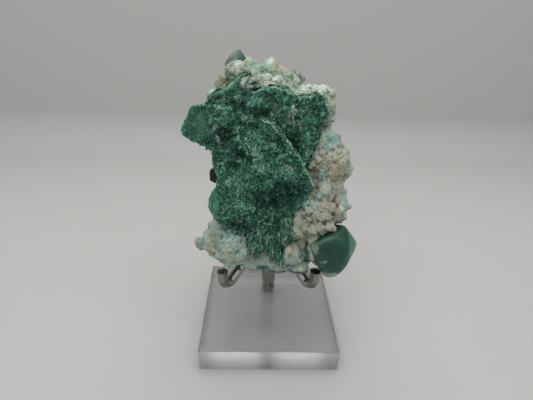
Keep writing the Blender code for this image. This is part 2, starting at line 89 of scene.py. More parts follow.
bm = bmesh.new()
front_edge = [bm.verts.new((side * STAGE_WIDE / 2, STAGE_FRONT, 0)) for side in (-1, 1)]
edge = bm.edges.new(front_edge)
flat = bmesh.ops.extrude_edge_only(bm, edges=[edge])["geom"]
far_verts = [v for v in flat if isinstance(v, bmesh.types.BMVert)]
bmesh.ops.translate(bm, vec=(0, SWEEP_AT - STAGE_FRONT, 0), verts=far_verts)
last = [e for e in flat if isinstance(e, bmesh.types.BMEdge)]
swept = bmesh.ops.spin(
    bm, geom=last, cent=(0, SWEEP_AT, SWEEP_RADIUS), axis=(1, 0, 0), angle=math.pi / 2, steps=24,
    use_duplicate=False,
)["geom_last"]
top_edge = [e for e in swept if isinstance(e, bmesh.types.BMEdge)]
wall = bmesh.ops.extrude_edge_only(bm, edges=top_edge)["geom"]
top_verts = [v for v in wall if isinstance(v, bmesh.types.BMVert)]
bmesh.ops.translate(bm, vec=(0, 0, STAGE_TALL), verts=top_verts)
bmesh.ops.recalc_face_normals(bm, faces=bm.faces)
sheet_mesh = bpy.data.meshes.new("stage_sheet")
bm.to_mesh(sheet_mesh)
bm.free()
sheet_mesh.shade_smooth()
sheet_mesh.transform(Matrix.Translation((0, 0, -REST_GAP)))
stage_sheet = bpy.data.objects.new("stage_sheet", sheet_mesh)
scene.collection.objects.link(stage_sheet)
# Uncoated card, with no sheen
paper, _, paper_shader = finish("matt backdrop card", 0.9)
paper_shader.inputs["Base Color"].default_value = linear("#c9c8c5")
sheet_mesh.materials.append(paper)

world = bpy.data.worlds.new("studio air")
scene.world = world
world.use_nodes = True
world.node_tree.nodes["Background"].inputs["Color"].default_value = linear("#e4e6ea")
world.node_tree.nodes["Background"].inputs["Strength"].default_value = 0.34
for name, place, aim, size, watts in (
    ("overhead_softbox", (0.0, 0.19, 0.55), (0, 0.19, 0), 0.5, 1.65),
    ("left_softbox", (-0.34, -0.22, 0.36), (0, -0.01, 0.02), 0.35, 0.25),
    ("right_softbox", (0.34, -0.22, 0.36), (0, -0.01, 0.02), 0.35, 0.28),
    ("front_softbox", (-0.05, -0.32, 0.42), (0, -0.01, 0.01), 0.35, 0.58),
):
    lamp = bpy.data.lights.new(name, "AREA")
    lamp.size = size
    lamp.energy = watts
    light = bpy.data.objects.new(name, lamp)
    light.location = place
    light.rotation_euler = (Vector(aim) - Vector(place)).to_track_quat("-Z", "Y").to_euler()
    scene.collection.objects.link(light)

# Acrylic base: a cast acrylic block with polished faces and satin sawn edges. The screw from below
# is bedded in clear cement of the same index, so the walls of its bore don't show.
MM = 0.001
EDGE_SOFTENED = 0.3 * MM
ACRYLIC_IOR = 1.49


def piece(name, mesh, material):
    """An object for a finished mesh, riding on the stand's one body."""
    made = bpy.data.objects.new(name, mesh)
    scene.collection.objects.link(made)
    mesh.materials.append(material)
    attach(made, "root")
    return made


# Clear cast acrylic with the light haze of polishing and handling
acrylic, _, acrylic_shader = finish("polished cast acrylic", 0.14, IOR=ACRYLIC_IOR, Transmission_Weight=1.0)
# The same acrylic where it was sawn and only sanded
satin, _, satin_shader = finish("satin sawn acrylic", 0.4, IOR=ACRYLIC_IOR, Transmission_Weight=1.0)
for shader in (acrylic_shader, satin_shader):
    shader.inputs["Base Color"].default_value = linear("#ffffff")
around = np.array([v.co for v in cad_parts["acrylic_base"].data.vertices])
low, high = around.min(0), around.max(0)
bm = bmesh.new()
fitted = Matrix.Translation((low + high) / 2) @ Matrix.Diagonal((*(high - low), 1))
bmesh.ops.create_cube(bm, size=1, matrix=fitted)
bmesh.ops.bevel(
    bm, geom=bm.edges[:], offset=EDGE_SOFTENED, affect="EDGES", segments=3, profile=0.5, material=-1
)
edge_area = (high[0] - low[0]) * 2 * EDGE_SOFTENED
for face in bm.faces:
    face.material_index = 0 if abs(face.normal.z) > 0.9 else 1
    face.smooth = bool(face.calc_area() < edge_area)
block_mesh = bpy.data.meshes.new("base_block")
bm.to_mesh(block_mesh)
bm.free()
base_block = piece("base_block", block_mesh, acrylic)
block_mesh.materials.append(satin)
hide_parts("acrylic_base")

# Metal holder: post, collar and three arms of round steel bar, bent, plated and polished;
# handling leaves fine drawn lines and a faint haze on the plating.


def node(tree, kind, inputs=None, **settings):
    """Adds a node with its settings; each input is a value, or a socket to link from."""
    made = tree.nodes.new(kind)
    for key, value in settings.items():
        setattr(made, key, value)
    for key, value in (inputs or {}).items():
        if isinstance(value, bpy.types.NodeSocket):
            tree.links.new(value, made.inputs[key])
        else:
            made.inputs[key].default_value = value
    return made


def ramp(tree, factor, stops):
    """A colour ramp from (place, hex colour) stops."""
    made = node(tree, "ShaderNodeValToRGB", {"Fac": factor})
    bar = made.color_ramp.elements
    while len(bar) < len(stops):
        bar.new(0.5)
    for element, (place, code) in zip(bar, stops):
        element.position = place
        element.color = linear(code)
    return made.outputs["Color"]


# Nickel plate over steel, polished bright and hazed in patches
plated, tree, shader = finish("polished nickel plate", 0.12, 1.0)
coords = node(tree, "ShaderNodeTexCoord").outputs["Object"]
haze = node(tree, "ShaderNodeTexNoise", {"Vector": coords, "Scale": 700.0, "Detail": 4.0})
nickel = ramp(tree, haze.outputs["Fac"], [(0.3, "#8c8882"), (0.7, "#a39f98")])
tree.links.new(nickel, shader.inputs["Base Color"])
rough = node(tree, "ShaderNodeMapRange", {"Value": haze.outputs["Fac"], "To Min": 0.05, "To Max": 0.2})
tree.links.new(rough.outputs["Result"], shader.inputs["Roughness"])
for name in ("base_screw", "post", "arm_collar", "left_arm", "right_arm", "back_arm"):
    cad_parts[name].material_slots[0].material = plated

# Arm seats: short pins of the same plated steel, brazed into the collar and the arms' level ends.
# HOLDER_AXIS is where the post and collar stand, and each seat has its way out and its height, in mm.
HOLDER_AXIS = (0.4, 15)
SEATS = [((-17.6, -21.1), 33.6), ((16, -21.1), 33.6), ((0, 10), 35.0)]
SEAT_WIDE, SEAT_START, SEAT_END = 3.8 * MM, 3.0 * MM, 4.8 * MM
bm = bmesh.new()
for away, level in SEATS:
    way = Vector((*away, 0)).normalized()
    middle = Vector((*HOLDER_AXIS, level)) * MM + way * (SEAT_START + SEAT_END) / 2
    place = Matrix.Translation(middle) @ way.to_track_quat("Z", "X").to_matrix().to_4x4()
    bmesh.ops.create_cone(
        bm, cap_ends=True, segments=32, radius1=SEAT_WIDE / 2, radius2=SEAT_WIDE / 2,
        depth=SEAT_END - SEAT_START, matrix=place,
    )
for face in bm.faces:
    face.smooth = len(face.verts) == 4
seat_mesh = bpy.data.meshes.new("arm_seats")
bm.to_mesh(seat_mesh)
bm.free()
arm_seats = piece("arm_seats", seat_mesh, plated)

# Malachite group: tabular azurite crystals turned to malachite, crusted with fibrous malachite.
# Its relief is stepped growth, silky and streaked on the left lobe, with paler rims.
FACE_GRAIN = 0.34
# The stone's own leaning frame, in mm: x to the right, depth into the stone, up along its face.
# Patches of colour and growth are placed in it.
STONE_FOOT = np.array((0, -8, 28))
STONE_LEAN = math.radians(14)
LEAN_COS, LEAN_SIN = math.cos(STONE_LEAN), math.sin(STONE_LEAN)
STONE_AXES = np.array(((1, 0, 0), (0, LEAN_COS, -LEAN_SIN), (0, LEAN_SIN, LEAN_COS)))


def in_stone(points):
    """World points in metres, as (x, depth, up) in mm."""
    return (points / MM - STONE_FOOT) @ STONE_AXES.T


def fine_copy(name, grain, balls=()):
    """The CAD node's form, with balls grown on it, as an even mesh of a grain in mm, for relief.

    Each ball is a world place in m and a radius in mm.
    """
    bm = bmesh.new()
    bm.from_mesh(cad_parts[name].data)
    bmesh.ops.remove_doubles(bm, verts=bm.verts, dist=1e-6)
    for place, radius in balls:
        at = Matrix.Translation(place)
        bmesh.ops.create_icosphere(bm, subdivisions=2, radius=radius * MM, matrix=at)
    form = bpy.data.meshes.new(f"{name}_form")
    bm.to_mesh(form)
    bm.free()
    carrier = bpy.data.objects.new(f"{name}_form", form)
    scene.collection.objects.link(carrier)
    even = carrier.modifiers.new("even", "REMESH")
    even.mode = "VOXEL"
    even.voxel_size = grain * MM
    graph = bpy.context.evaluated_depsgraph_get()
    mesh = bpy.data.meshes.new_from_object(carrier.evaluated_get(graph))
    bpy.data.objects.remove(carrier)
    mesh.materials.clear()
    mesh.name = f"{name}_surface"
    return mesh


def corners_of(mesh):
    """The mesh's vertices, in m."""
    values = np.empty(len(mesh.vertices) * 3, np.float32)
    mesh.vertices.foreach_get("co", values)
    return values.reshape(-1, 3).astype(float)


def normals_of(mesh):
    """The normal at each vertex."""
    values = np.empty(len(mesh.vertices) * 3, np.float32)
    mesh.vertex_normals.foreach_get("vector", values)
    return values.reshape(-1, 3).astype(float)


def raise_surface(mesh, height):
    """Moves each vertex out along its normal by a height in mm."""
    moved = corners_of(mesh) + normals_of(mesh) * (height * MM)[:, None]
    mesh.vertices.foreach_set("co", moved.astype(np.float32).ravel())
    mesh.update()


def swelling(mesh, rounds):
    """How far each vertex stands out of its surroundings, in mm: knobs above 0, crevices below."""
    ends = np.empty(len(mesh.edges) * 2, np.int32)
    mesh.edges.foreach_get("vertices", ends)
    ends = ends.reshape(-1, 2)
    start = corners_of(mesh)
    count = np.bincount(ends.ravel(), minlength=len(start))[:, None]
    calm = start
    for _ in range(rounds):
        total = np.zeros_like(calm)
        np.add.at(total, ends[:, 0], calm[ends[:, 1]])
        np.add.at(total, ends[:, 1], calm[ends[:, 0]])
        calm = total / count
    return ((start - calm) * normals_of(mesh)).sum(1) / MM


def store(mesh, **values):
    """Keeps numbers per vertex for the material to read."""
    for name, numbers in values.items():
        attribute = mesh.attributes.new(name, "FLOAT", "POINT")
        attribute.data.foreach_set("value", np.asarray(numbers, np.float32))


def noise_at(places, size, seed=0.0, stretch=(1, 1, 1)):
    """Smooth noise from -1 to 1 at places in mm, of a feature size in mm."""
    spread = places / size / np.array(stretch) + np.array((seed, seed * 0.7, -seed))
    return np.array([noise.noise(Vector(p)) for p in spread])


def cells_at(places, size, seed=0.0):
    """For each place: how far the nearest cell middle is, in cell sizes, and the cell's own number."""
    spread = places / size + np.array((seed, -seed, seed * 0.3))
    found = np.empty((len(places), 2))
    for i, p in enumerate(spread):
        distances, points = noise.voronoi(Vector(p))
        found[i] = distances[0], noise.cell(points[0] * 7.31)
    return found.T


def spots(places, patches):
    """Strength from 0 to 1 of soft patches, each (x, up, half width, half height[, degrees of turn])."""
    strength = np.zeros(len(places))
    for x, up, wide, tall, *turn in patches:
        angle = math.radians(turn[0] if turn else 0)
        c, s = math.cos(angle), math.sin(angle)
        across, along = places[:, 0] - x, places[:, 2] - up
        far = ((c * across + s * along) / wide) ** 2 + ((c * along - s * across) / tall) ** 2
        strength = np.maximum(strength, np.exp(-(far**2)))
    return strength


def strip(places, route, wide):
    """Strength from 0 to 1 along a line over the face, through (x, up) points."""
    strength = np.zeros(len(places))
    flat = places[:, (0, 2)]
    for a, b in zip(route, route[1:]):
        a, step = np.array(a), np.subtract(b, a)
        along = np.clip((flat - a) @ step / (step @ step), 0, 1)
        far = np.linalg.norm(flat - a - along[:, None] * step, axis=1)
        strength = np.maximum(strength, np.exp(-((far / wide) ** 2)))
    return strength


# The front edge of the top, the ridge of the middle plate and thin pale veins, through (x, up) points
RIM = [
    (-11.2, 65.8), (-8, 66.3), (-6, 65.8), (-4, 67), (0.2, 67.4), (4.3, 66.2), (8.7, 64.4), (13, 64.8),
]
RIDGE = [(-0.5, 56.1), (2.3, 53.5), (4.6, 50.1), (8.4, 46.1), (10.2, 42.2), (12.7, 37.9), (14.2, 35.1)]
VEINS = [
    [(-11.2, 54.6), (-12.2, 52.8), (-11.4, 51.3)],
    [(-11.8, 50.9), (-9.8, 47.9), (-8.3, 45.1)],
    [(-5.5, 49.0), (-6.3, 46.2), (-7.2, 44.8)],
    [(-2.4, 57.2), (1.5, 52.6)],
]
# Patches on the face, as spots() reads them: silky, white with powder, feathery, blue-green, dark (darker
# malachite, and painted shadow) and pale
SILKY = [
    (-25, 55, 8, 5.4, -25), (-20.2, 27, 2.8, 6.4), (-12.8, 57.2, 1.7, 1.7), (-5.9, 62.8, 2.6, 1.2),
    (4.4, 59.5, 1.3, 1.3), (12.6, 34.5, 1.8, 3.2), (-15, 68, 6, 1.8, 40),
]
POWDER = [
    (6.7, 60.1, 1.2, 2.0), (5.6, 57.2, 1.4, 1.9), (1.1, 61.3, 1.4, 1.0), (-9.8, 57.4, 1.6, 0.9),
    (-6.8, 56.5, 1.6, 0.6), (-3.2, 56.9, 1.6, 0.7), (-0.1, 48.7, 1.4, 1.0), (-6.3, 46.6, 0.8, 0.8),
    (-0.5, 59, 1.2, 0.7), (9, 55, 0.8, 1.6), (-19.4, 54.0, 1.2, 1.4), (-18.6, 50.3, 1.0, 1.6),
    (-11.6, 21.9, 1.0, 0.5), (-3.9, 21.7, 1.0, 0.4), (5, 41.5, 2.2, 0.7), (-5.5, 43.6, 1.5, 0.6),
]
FAN = [(-8.7, 68.8, 2.3, 2.0)]
CYAN = [
    (-4.6, 65.2, 1.6, 0.5, 20), (-6.6, 64.5, 0.9, 0.5), (-17.6, 65.5, 0.8, 0.6), (11.8, 33.6, 0.8, 0.6),
    (-7.4, 22.4, 1.6, 0.5), (11.3, 29.0, 0.8, 0.8), (0.2, 34.6, 0.4, 0.4), (-8.2, 31.5, 0.4, 0.4),
]
# Dark patches: darker malachite, and painted shadow below steps and in the gaps at the plates' edges
DARK_AND_SHADOWED = [
    (-4.6, 59.3, 5, 2.0, -10), (-16.1, 51.5, 3, 3.4), (4.6, 33.5, 8, 3.4, 10), (-0.6, 28.8, 6, 2.4),
    (-10.9, 20.6, 5, 1.6), (-20.6, 62.4, 4, 0.8, 35), (7.5, 49, 2, 5, 40), (-9.5, 45, 3.4, 1.2, -30),
    (2.5, 16, 0.8, 6), (-12, 62, 3, 1.0), (-7.4, 18.5, 3, 1.4), (14, 60, 1.2, 2.2),
    (-13.5, 41.5, 2, 1.2),
]
PALE = [
    (0.5, 40, 9, 2.6, -12), (-12.8, 34.5, 4.6, 5), (-11, 27.4, 5, 3), (-20.2, 27, 2.4, 6),
    (-8, 48, 2.4, 5, 40), (-7, 51, 3, 4), (-5.5, 11.3, 3.4, 2.6), (-14.5, 68.5, 5, 1.4, 40),
    (-6, 62, 4, 2), (6, 18, 2.4, 5), (-3, 17, 2.6, 3), (12, 47, 3, 4), (-16.5, 59.5, 3, 1.6, -20),
]
# Where needles take over from the flakes
SPRAY = [(-3, 14, 6, 5.5), (2, 9, 4, 5, -35), (5, 18, 3.4, 6)]
# Where the plates are smoother, with few flakes
PLAIN = [
    (-8, 63, 9, 3.4), (-17, 58, 6, 8), (2, 64, 8, 2.4), (12, 58, 4, 7), (-15, 43, 4, 4),
    (-11.2, 61, 4, 4),
]
# Where the fibres run: middle (x, up), half width, half height and the way they point, in degrees
FIBRES = [
    (-25, 55, 8, 6, -24), (-16, 68, 7, 4, 40), (-20.2, 27, 3, 7, 80), (0, 14, 9, 9, 84),
    (-8, 48, 5, 6, 50),
]


def marks_on(places):
    """Marks for malachite at places on the stone; level runs from dark to pale."""
    ridge = np.maximum(strip(places, RIDGE, 0.28), 0.45 * strip(places, RIM, 0.5))
    for vein in VEINS:
        ridge = np.maximum(ridge, 0.8 * strip(places, vein, 0.24))
    level = 0.55 + 0.22 * spots(places, PALE) - 0.28 * spots(places, DARK_AND_SHADOWED)
    level += 0.15 * noise_at(places, 3.0, 21.0)
    silk, powder, cyan = (spots(places, patches) for patches in (SILKY, POWDER, CYAN))
    fan = spots(places, FAN)
    silk, powder = np.maximum(silk, fan), np.maximum(powder, 3 * fan)
    return {"silk": silk, "powder": powder, "cyan": cyan, "ridge": ridge, "level": level + 0.2 * ridge}


def along_fibres(places):
    """Places with the axis that the fibres follow drawn out, so that a pattern laid on it streaks."""
    drawn = places.copy()
    for x, up, wide, tall, way in FIBRES:
        share = spots(places, [(x, up, wide, tall)])[:, None]
        c, s = math.cos(math.radians(way)), math.sin(math.radians(way))
        across = places[:, (0, 2)] @ np.array((-s, c))
        length = places[:, (0, 2)] @ np.array((c, s))
        turned = np.stack((length * 0.16, places[:, 1] * 0.5, across * 1.4), axis=1)
        drawn = drawn * (1 - share) + turned * share
    return drawn


mesh = fine_copy("malachite_group", FACE_GRAIN)
places = in_stone(corners_of(mesh))
marks = marks_on(places)
fibre = along_fibres(places)
silk = marks["silk"]
near, block = cells_at(places, 1.5, 3.0)
steps = 0.40 * (block - 0.5) + 0.20 * (0.5 - near) + 0.18 * noise_at(places, 0.8, 6.0)
streaks = 0.1 * noise_at(fibre, 0.7, 4.0) + 0.12 * (block - 0.5)
height = (1 - silk) * steps
height += silk * streaks + 0.25 * noise_at(places, 5.0) + 0.2 * marks["ridge"] - 0.12
raise_surface(mesh, height)
# Painted light and shade: knobs are made paler and crevices darker by how far each point stands out
edge = np.clip(swelling(mesh, 3) / 0.12, -1, 1)
marks["level"] += 0.16 * edge + 0.08 * (1 - silk) * (block - 0.5) - 0.14 * silk
marks["powder"] *= 0.45
store(mesh, **marks)
lay = mesh.attributes.new("fibre", "FLOAT_VECTOR", "POINT")
lay.data.foreach_set("vector", fibre.astype(np.float32).ravel())
mesh.shade_flat()
# Malachite, dark to mint green by level, grainy or streaked by its fibres, with powder and chrysocolla on it
malachite, tree, shader = finish("fibrous drusy malachite", 0.45)
coords = node(tree, "ShaderNodeTexCoord").outputs["Object"]
marks = {
    key: node(tree, "ShaderNodeAttribute", attribute_name=key).outputs["Fac"]
    for key in ("silk", "powder", "cyan", "level", "ridge")
}
lay = node(tree, "ShaderNodeAttribute", attribute_name="fibre").outputs["Vector"]
speck = node(
    tree, "ShaderNodeTexNoise", {"Vector": coords, "Scale": 1500.0, "Detail": 3.0, "Roughness": 0.7}
)
hair = node(tree, "ShaderNodeTexNoise", {"Vector": lay, "Scale": 1.5, "Detail": 5.0, "Roughness": 0.75})
hair = node(tree, "ShaderNodeMath", {0: hair.outputs["Fac"], 1: 1.8, 2: -0.4}, operation="MULTIPLY_ADD")
both = {"Factor": marks["silk"], 2: speck.outputs["Fac"], 3: hair.outputs[0]}
pattern = node(tree, "ShaderNodeMix", both, data_type="FLOAT").outputs[0]
swing = node(tree, "ShaderNodeMath", {0: pattern, 1: 0.5}, operation="SUBTRACT").outputs[0]
swung = {0: swing, 1: 1.0, 2: marks["level"]}
swing = node(tree, "ShaderNodeMath", swung, operation="MULTIPLY_ADD").outputs[0]
GREENS = [(0.08, "#0f2b20"), (0.32, "#1f4f3b"), (0.52, "#336f57"), (0.74, "#5a9a7f"), (0.95, "#9fcdb6")]
colour = ramp(tree, swing, GREENS)
for key, code, low, high in (
    ("powder", "#bccabe", 0.2, 0.95),
    ("cyan", "#4d9a98", 0.35, 1.6),
    ("ridge", "#9fd0ae", 0.3, 1.3),
):
    swung = {0: marks[key], 1: swing, 2: marks[key]}
    patch = node(tree, "ShaderNodeMath", swung, operation="MULTIPLY_ADD").outputs[0]
    share = node(tree, "ShaderNodeMapRange", {"Value": patch, "From Min": low, "From Max": high})
    mixed = node(tree, "ShaderNodeMix", {0: share.outputs["Result"], 6: colour}, data_type="RGBA")
    mixed.inputs[7].default_value = linear(code)
    colour = mixed.outputs[2]
tree.links.new(colour, shader.inputs["Base Color"])
bump = node(tree, "ShaderNodeBump", {"Height": pattern, "Strength": 0.5, "Distance": 0.0003})
tree.links.new(bump.outputs["Normal"], shader.inputs["Normal"])
malachite_face = piece("malachite_face", mesh, malachite)
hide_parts("malachite_group")

# Druse: thousands of malachite flakes under a millimetre long, standing out of the faces edge up.
# They are thick over the plates, leave the silky parts bare, and are white where powder lies.
DICE_SEED = 11
FLAKES = 9800
# A flake one unit wide and tall: its sides, thin back and front, two tips and the root it is sunk by
FLAKE_CORNERS = (
    (-0.5, 0, 0.35), (0.5, 0, 0.35), (0, 0.09, 0.4), (0, -0.09, 0.4),
    (-0.28, 0, 0.92), (0.3, 0, 1.0), (0, 0, -0.4),
)
dice = np.random.default_rng(DICE_SEED)
flake = bmesh.new()
left, right, back, front, tip, other_tip, root = (flake.verts.new(p) for p in FLAKE_CORNERS)
for corners in (
    (left, front, tip), (front, other_tip, tip), (front, right, other_tip),
    (left, root, front), (front, root, right),
    (left, tip, back), (tip, other_tip, back), (other_tip, right, back),
    (left, back, root), (back, right, root),
):
    flake.faces.new(corners)
bmesh.ops.recalc_face_normals(flake, faces=flake.faces)
flake.verts.index_update()


def joined_copies(name, template, places, axes, sizes, marks, rise):
    """One mesh of many copies of a small form: world places in m, 3x3 axes, sizes in mm, marks per copy.

    Each mark in rise also grows by so much for each unit of height within a copy.
    """
    points = np.array([v.co for v in template.verts])
    # Blender may list a ball's faces in another order each run, so they are put in order here
    loops = [[v.index for v in f.verts] for f in template.faces]
    faces = np.array(sorted(np.roll(loop, -loop.index(min(loop))).tolist() for loop in loops))
    scaled = points[None] * (sizes * MM)[:, None, :]
    placed = np.einsum("nij,nkj->nki", axes, scaled) + places[:, None, :]
    shift = np.arange(len(places))[:, None, None] * len(points)
    mesh = bpy.data.meshes.new(name)
    mesh.from_pydata(placed.reshape(-1, 3), [], (faces[None] + shift).reshape(-1, faces.shape[1]))
    spread = {key: np.repeat(value, len(points)) for key, value in marks.items()}
    for key, much in rise.items():
        spread[key] = spread[key] + much * np.tile(points[:, 2], len(places))
    store(mesh, **spread)
    return mesh


def scattered(mesh, count, chance, dice):
    """Random places on a mesh, in m, and their normals; chance(places, normals) says how likely each is."""
    mesh.calc_loop_triangles()
    ends = np.empty(len(mesh.loop_triangles) * 3, np.int32)
    mesh.loop_triangles.foreach_get("vertices", ends)
    ends = ends.reshape(-1, 3)
    points, normals = corners_of(mesh), normals_of(mesh)
    a, b, c = points[ends[:, 0]], points[ends[:, 1]], points[ends[:, 2]]
    area = np.linalg.norm(np.cross(b - a, c - a), axis=1)
    odds = area * chance(in_stone((a + b + c) / 3), normals[ends[:, 0]])
    chosen = dice.choice(len(ends), count, p=odds / odds.sum())
    u, v = dice.random((2, count))
    u, v = np.where(u + v > 1, 1 - u, u)[:, None], np.where(u + v > 1, 1 - v, v)[:, None]
    places = a[chosen] + u * (b - a)[chosen] + v * (c - a)[chosen]
    return places, normals[ends[chosen, 0]]


def standing(normals, tilt, dice):
    """Axes for small forms that stand out of a surface, each leaning by about the tilt and spun at random."""
    up = normals + tilt * dice.normal(size=normals.shape)
    up /= np.linalg.norm(up, axis=1)[:, None]
    side = np.cross(up, dice.normal(size=up.shape))
    side /= np.linalg.norm(side, axis=1)[:, None]
    return np.stack((side, np.cross(up, side), up), axis=2)


def druse_chance(places, normals):
    """Flakes grow in clumps on what faces the front, and hardly where it is silky or feathery."""
    facing = np.clip(-3 * (normals @ STONE_AXES[1]) - 1.6, 0, 1)
    clumped = np.clip(0.5 + 1.5 * noise_at(places, 2.6, 17.0), 0.12, 1)
    bare = np.maximum(0.96 * spots(places, SILKY + FAN), 0.5 * spots(places, SPRAY))
    return facing * clumped * (1 - bare) * (1 - 0.5 * spots(places, PLAIN))


places, normals = scattered(mesh, FLAKES, druse_chance, dice)
marks = marks_on(in_stone(places))
marks["level"] += dice.normal(-0.39, 0.17, len(places))
marks["powder"] *= dice.random(len(places)) > 0.45
marks["powder"] += 1.4 * (dice.random(len(places)) > 0.988)
height = dice.uniform(0.35, 0.9, len(places)) * (1 - 0.35 * marks["powder"])
sizes = np.stack((dice.uniform(0.35, 1.0, len(places)), height, height), axis=1)
# Painted shade: each flake is darker at its root and paler towards its tips
flakes = joined_copies("druse", flake, places, standing(normals, 0.5, dice), sizes, marks, {"level": 0.65})
flake.free()
druse = piece("malachite_druse", flakes, malachite)

# Spray: three-sided needles of the same malachite, up to 4 mm long, that fan down over the foot
# of the group from a point above it, each painted darker at its root and paler towards its point, a painted
# shade.
NEEDLES = 800
FAN_TOP = np.array((0.5, 0, 30))
NEEDLE_SUNK = 0.8
needle = bmesh.new()
ends = [
    [needle.verts.new((0.5 * math.cos(a) * wide, 0.5 * math.sin(a) * wide, level)) for a in (0, 2.1, 4.2)]
    for wide, level in ((0.7, 0), (1, 0.55))
]
point = needle.verts.new((0, 0, 1))
for i in range(3):
    j = (i + 1) % 3
    needle.faces.new((ends[0][i], ends[0][j], ends[1][j]))
    needle.faces.new((ends[0][i], ends[1][j], ends[1][i]))
    needle.faces.new((ends[1][i], ends[1][j], point))
needle.faces.new(ends[0][::-1])
bmesh.ops.recalc_face_normals(needle, faces=needle.faces)
needle.verts.index_update()


def spray_chance(places, normals):
    """Needles grow where the group's foot faces the front."""
    facing = np.clip(-2 * (normals @ STONE_AXES[1]) - 0.6, 0, 1)
    return facing * spots(places, SPRAY)


places, normals = scattered(mesh, NEEDLES, spray_chance, dice)
where = in_stone(places)
fall = where - FAN_TOP
fall[:, 1] = dice.uniform(-4.5, -0.8, len(fall))
fall[:, 0] += dice.normal(0, 2.4, len(fall))
fall[:, 2] = np.minimum(fall[:, 2], -4)
fall /= np.linalg.norm(fall, axis=1)[:, None]
ways = fall @ STONE_AXES
side = np.cross(ways, normals)
side /= np.linalg.norm(side, axis=1)[:, None]
marks = marks_on(where)
marks["level"] = 0.05 + dice.beta(0.9, 1.9, len(places)) * 1.1
marks["powder"] = (dice.random(len(places)) > 0.95) * 1.1
width = dice.uniform(0.2, 0.42, len(places))
sizes = np.stack((width, width, dice.uniform(1.2, 3.6, len(places))), axis=1)
axes = np.stack((side, np.cross(ways, side), ways), axis=2)
roots = places - ways * NEEDLE_SUNK * MM
# Painted shade: each needle is darker at its root and paler towards its point
needles = joined_copies("needles", needle, roots, axes, sizes, marks, {"level": 0.2})
needle.free()
spray = piece("malachite_spray", needles, malachite)

# Corner crystal: one stout crystal, silky and dark, with painted highlight along its edges and on
# its right facet, a pale smudge low on the left and a chalky rim at its foot.
CHALKY = [(18.9, 7.0, 1.5, 0.6), (16, 12, 1.6, 2.6), (22, 2, 4, 1.2)]


def soften(mesh, rounds):
    """Rounds the edges off: each round moves every vertex to the middle of its neighbours."""
    calm = corners_of(mesh) - normals_of(mesh) * (swelling(mesh, rounds) * MM)[:, None]
    mesh.vertices.foreach_set("co", calm.astype(np.float32).ravel())
    mesh.update()


mesh = fine_copy("corner_crystal", 0.3)
soften(mesh, 40)
places = in_stone(corners_of(mesh))
raise_surface(mesh, 0.35 + 0.12 * noise_at(places, 4.0) + 0.03 * noise_at(places, 1.0, 5.0))
# Painted highlight: the rounded edges and the right facet are made lighter
edge = np.clip(swelling(mesh, 14) / 0.25, 0, 1)
right_facet = np.clip((places[:, 0] - 27.5) / 1.0, 0, 1)
patches = spots(places + noise_at(places, 1.2, 8.0)[:, None], CHALKY)
chalk = np.clip(0.8 * patches + 0.6 * np.clip((3.6 - places[:, 2]) / 2, 0, 1), 0, 1)
store(mesh, worn=np.clip(0.4 * edge + 0.45 * right_facet, 0, 1), chalk=chalk)
mesh.shade_smooth()
# Compact malachite with a silky sheen
silky, tree, shader = finish("silky dark malachite", 0.36)
coords = node(tree, "ShaderNodeTexCoord").outputs["Object"]
cloud = node(
    tree, "ShaderNodeTexNoise", {"Vector": coords, "Scale": 260.0, "Detail": 5.0, "Roughness": 0.6}
)
worn = node(tree, "ShaderNodeAttribute", attribute_name="worn").outputs["Fac"]
chalk = node(tree, "ShaderNodeAttribute", attribute_name="chalk").outputs["Fac"]
clouded = {0: cloud.outputs["Fac"], 1: 0.4, 2: worn}
level = node(tree, "ShaderNodeMath", clouded, operation="MULTIPLY_ADD").outputs[0]
green = ramp(tree, level, [(0.1, "#15382b"), (0.3, "#1f4c3a"), (0.6, "#44785f"), (1.0, "#6f9f86")])
share = node(tree, "ShaderNodeMath", {0: chalk, 1: cloud.outputs["Fac"]}, operation="MULTIPLY").outputs[0]
share = node(tree, "ShaderNodeMapRange", {"Value": share, "From Min": 0.1, "From Max": 0.5})
mixed = node(tree, "ShaderNodeMix", {0: share.outputs["Result"], 6: green}, data_type="RGBA")
mixed.inputs[7].default_value = linear("#93a596")
tree.links.new(mixed.outputs[2], shader.inputs["Base Color"])
corner = piece("corner_malachite", mesh, silky)
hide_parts("corner_crystal")

# Top crystal: weathered grey-green, with a dark green right facet; and the small black crystal
# at the left edge, a splinter of manganese oxide.
CRYSTAL_GRAIN = 0.3
WEATHERED = [(0.2, "#677f77"), (0.5, "#8b9a8a"), (0.85, "#3a6656")]
BLACK = [(0.35, "#141816"), (0.7, "#2c322f")]
for name, made, colours, slot in (
    ("top_crystal", "weathered_crystal", WEATHERED, "weathered_malachite"),
    ("dark_crystal", "black_crystal", BLACK, "black_oxide"),
):
    mesh = fine_copy(name, CRYSTAL_GRAIN)
    places = in_stone(corners_of(mesh))
    raise_surface(mesh, 0.10 * noise_at(places, 1.5) + 0.05 * noise_at(places, 0.6) - 0.05)
    store(mesh, side=np.clip((places[:, 0] + 16.5) / 5.5, 0, 1) * 0.8 - 0.2)
    mesh.shade_smooth()
    # The dull skin of a weathered or oxidised crystal face
    skin, tree, shader = finish(f"{made} skin", 0.5)
    coords = node(tree, "ShaderNodeTexCoord").outputs["Object"]
    cloud = node(tree, "ShaderNodeTexNoise", {"Vector": coords, "Scale": 500.0, "Detail": 5.0})
    side = node(tree, "ShaderNodeAttribute", attribute_name="side").outputs["Fac"]
    clouded = {0: cloud.outputs["Fac"], 1: 0.5, 2: side}
    side = node(tree, "ShaderNodeMath", clouded, operation="MULTIPLY_ADD").outputs[0]
    tree.links.new(ramp(tree, side, colours), shader.inputs["Base Color"])
    crystal = piece(made, mesh, skin)
    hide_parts(name)

